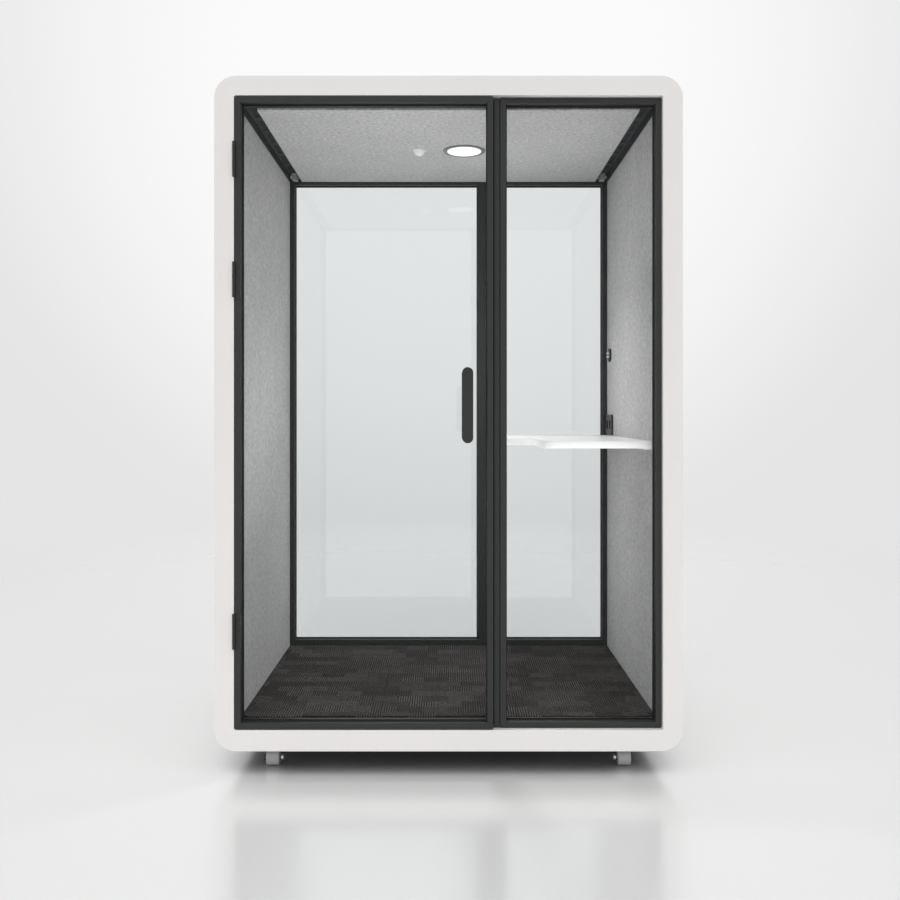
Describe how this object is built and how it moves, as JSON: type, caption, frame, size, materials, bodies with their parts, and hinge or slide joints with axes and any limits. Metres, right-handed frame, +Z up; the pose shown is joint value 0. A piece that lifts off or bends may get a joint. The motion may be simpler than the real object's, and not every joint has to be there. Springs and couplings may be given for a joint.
{
  "type": "acoustic office pod",
  "caption": "Rounded acoustic office pod on swivel casters, with a hinged glass door, fixed glass panes, felt lining, wall desk, ceiling light, extractor fans and wall control.",
  "frame": {"origin": "on the ground under the centre of the pod's overall box, at the level where the wheels touch", "axes": "+X to the right as seen from the front, +Y from the front into the pod, +Z up"},
  "size_m": [1.54, 1.1284, 2.3],
  "materials": {
    "white_paint": "satin white powder coat",
    "charcoal_aluminium": "satin charcoal powder coat",
    "black_metal": "matt black powder coat",
    "glass": "clear laminated glass",
    "felt": "grey pressed polyester felt",
    "core": "sound absorbing fibre core",
    "board": "plywood",
    "carpet": "dark loop pile carpet planks",
    "rubber": "matt rubber",
    "white_laminate": "white laminate on board",
    "diffuser": "opal",
    "grey_metal": "satin grey",
    "white_plastic": "satin white",
    "black_plastic": "matt black",
    "zinc": "bright zinc plate",
    "grey_nylon": "light grey nylon"
  },
  "bodies": {
    "pod": {"front_hoop": "white_paint", "rear_hoop": "white_paint", "left_outer_panel": "white_paint", "right_outer_panel": "white_paint", "roof_panel": "white_paint", "base_pan": "white_paint", "floor_core": "core", "floor_deck": "board", "carpet": "carpet", "left_core": "core", "right_core": "core", "left_felt": "felt", "right_felt": "felt", "roof_core": "core", "ceiling_felt": "felt", "left_air_channel": "black_metal", "right_air_channel": "black_metal", "door_jamb": "charcoal_aluminium", "fixed_frame": "charcoal_aluminium", "fixed_glass": "glass", "door_seal": "rubber", "rear_frame_left": "charcoal_aluminium", "rear_glass_left": "glass", "rear_frame_right": "charcoal_aluminium", "rear_glass_right": "glass", "rear_post": "charcoal_aluminium", "hinge_top_frame_leaf": "black_metal", "hinge_middle_frame_leaf": "black_metal", "hinge_bottom_frame_leaf": "black_metal", "light_housing": "grey_metal", "light_lens": "diffuser", "presence_sensor": "white_plastic", "fan_housing_left": "black_plastic", "fan_housing_right": "black_plastic", "desk_top": "white_laminate", "desk_cleat": "white_paint", "socket_plate": "black_plastic", "control_plate": "black_plastic"},
    "door": {"door_hinge_stile": "charcoal_aluminium", "door_latch_stile": "charcoal_aluminium", "door_top_rail": "charcoal_aluminium", "door_bottom_rail": "charcoal_aluminium", "door_glass": "glass", "handle_outer": "black_metal", "handle_inner": "black_metal", "hinge_top_door_leaf": "black_metal", "hinge_middle_door_leaf": "black_metal", "hinge_bottom_door_leaf": "black_metal"},
    "fan_left": {"fan_rotor_left": "black_plastic"},
    "fan_right": {"fan_rotor_right": "black_plastic"},
    "light_push": {"light_button": "white_plastic"},
    "fan_push": {"fan_button": "white_plastic"},
    "swivel_front_left": {"caster_front_left_fork": "zinc"},
    "swivel_front_right": {"caster_front_right_fork": "zinc"},
    "swivel_rear_left": {"caster_rear_left_fork": "zinc"},
    "swivel_rear_right": {"caster_rear_right_fork": "zinc"},
    "wheel_front_left": {"caster_front_left_wheel": "grey_nylon"},
    "wheel_front_right": {"caster_front_right_wheel": "grey_nylon"},
    "wheel_rear_left": {"caster_rear_left_wheel": "grey_nylon"},
    "wheel_rear_right": {"caster_rear_right_wheel": "grey_nylon"}
  },
  "joints": [
    {"name": "door_swing", "type": "hinge", "parent": "pod", "child": "door", "pos_m": [-0.7037, -0.54175, 1.1925], "axis": [0, 0, -1], "range_deg": [0, 110]},
    {"name": "fan_left_spin", "type": "hinge", "parent": "pod", "child": "fan_left", "pos_m": [-0.6, 0.02025, 2.27], "axis": [0, 0, 1], "continuous": true},
    {"name": "fan_right_spin", "type": "hinge", "parent": "pod", "child": "fan_right", "pos_m": [0.6, 0.02025, 2.27], "axis": [0, 0, 1], "continuous": true},
    {"name": "light_press", "type": "slide", "parent": "pod", "child": "light_push", "axis": [1, 0, 0], "range_m": [0, 0.003], "stiffness_N_per_m": 400},
    {"name": "fan_press", "type": "slide", "parent": "pod", "child": "fan_push", "axis": [1, 0, 0], "range_m": [0, 0.003], "stiffness_N_per_m": 400},
    {"name": "swivel_front_left_turn", "type": "hinge", "parent": "pod", "child": "swivel_front_left", "pos_m": [-0.593, -0.41375, 0.08], "axis": [0, 0, 1], "continuous": true},
    {"name": "swivel_front_right_turn", "type": "hinge", "parent": "pod", "child": "swivel_front_right", "pos_m": [0.593, -0.41375, 0.08], "axis": [0, 0, 1], "continuous": true},
    {"name": "swivel_rear_left_turn", "type": "hinge", "parent": "pod", "child": "swivel_rear_left", "pos_m": [-0.593, 0.44225, 0.08], "axis": [0, 0, 1], "continuous": true},
    {"name": "swivel_rear_right_turn", "type": "hinge", "parent": "pod", "child": "swivel_rear_right", "pos_m": [0.593, 0.44225, 0.08], "axis": [0, 0, 1], "continuous": true},
    {"name": "wheel_front_left_roll", "type": "hinge", "parent": "swivel_front_left", "child": "wheel_front_left", "pos_m": [-0.593, -0.43575, 0.026], "axis": [1, 0, 0], "continuous": true},
    {"name": "wheel_front_right_roll", "type": "hinge", "parent": "swivel_front_right", "child": "wheel_front_right", "pos_m": [0.593, -0.43575, 0.026], "axis": [1, 0, 0], "continuous": true},
    {"name": "wheel_rear_left_roll", "type": "hinge", "parent": "swivel_rear_left", "child": "wheel_rear_left", "pos_m": [-0.593, 0.42025, 0.026], "axis": [1, 0, 0], "continuous": true},
    {"name": "wheel_rear_right_roll", "type": "hinge", "parent": "swivel_rear_right", "child": "wheel_rear_right", "pos_m": [0.593, 0.42025, 0.026], "axis": [1, 0, 0], "continuous": true}
  ]
}
